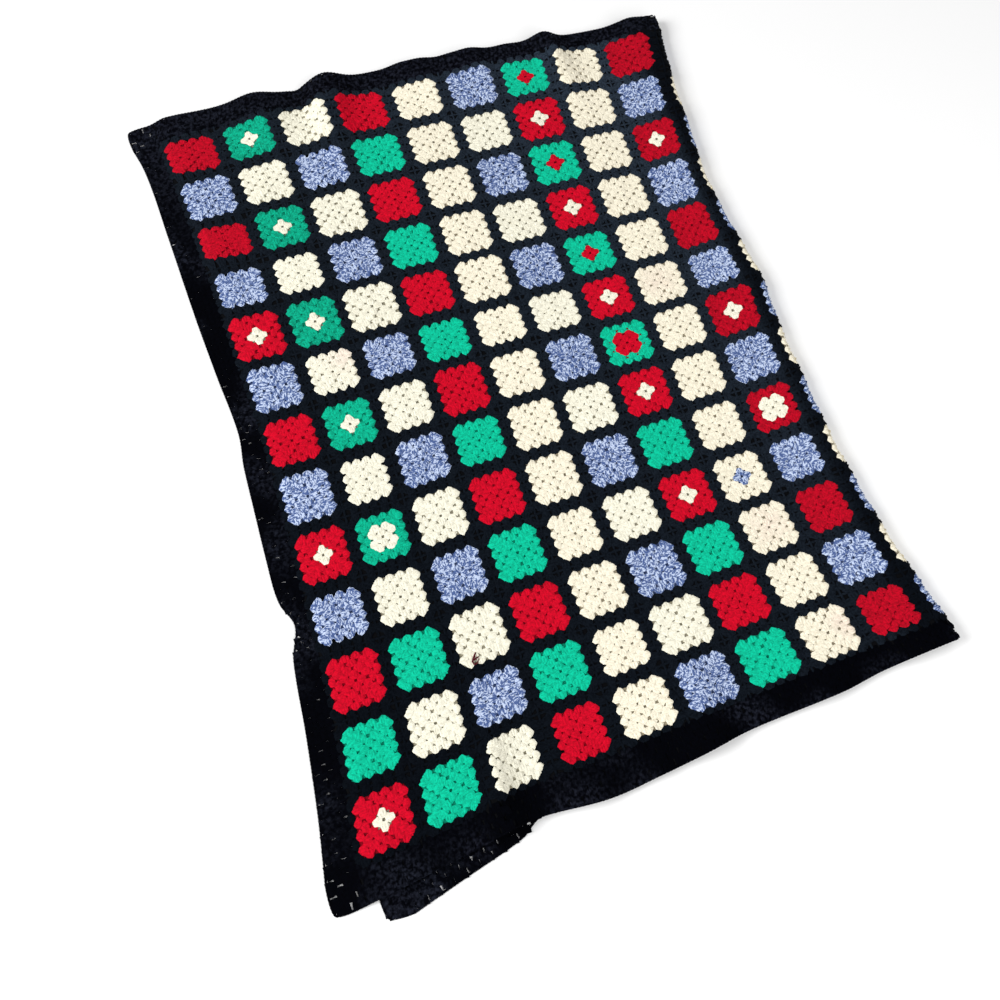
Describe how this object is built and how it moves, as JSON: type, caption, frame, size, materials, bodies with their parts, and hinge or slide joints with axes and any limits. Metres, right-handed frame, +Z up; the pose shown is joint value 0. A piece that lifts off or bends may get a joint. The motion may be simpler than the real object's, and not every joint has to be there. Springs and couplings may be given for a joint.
{
  "type": "afghan blanket",
  "caption": "Crocheted granny-square afghan blanket with black joins and an openwork black border, folded once along its length and lying flat in two softly rippled layers",
  "frame": {"origin": "on the surface the blanket lies on, under the middle of the folded blanket's box", "axes": "X across the strips of squares, +X towards the fold; Y along the fold, +Y towards the head, the end with the deeper ripples; Z up"},
  "size_m": [1.043, 1.4478, 0.0383],
  "materials": {
    "black_yarn": "soft black acrylic yarn in double crochet, matt with a faint fuzz",
    "ivory_yarn": "ivory acrylic yarn in double crochet, twisted plies, soft fuzz",
    "cream_yarn": "cream acrylic yarn in double crochet, faint pink stains in places",
    "red_yarn": "red acrylic yarn in double crochet, twisted plies, soft fuzz",
    "green_yarn": "emerald green acrylic yarn in double crochet, soft fuzz",
    "blue_yarn": "marled yarn of one blue and one white ply in double crochet"
  },
  "bodies": {
    "root": {"squares_panel": "ivory_yarn", "border": "black_yarn"}
  },
  "joints": []
}
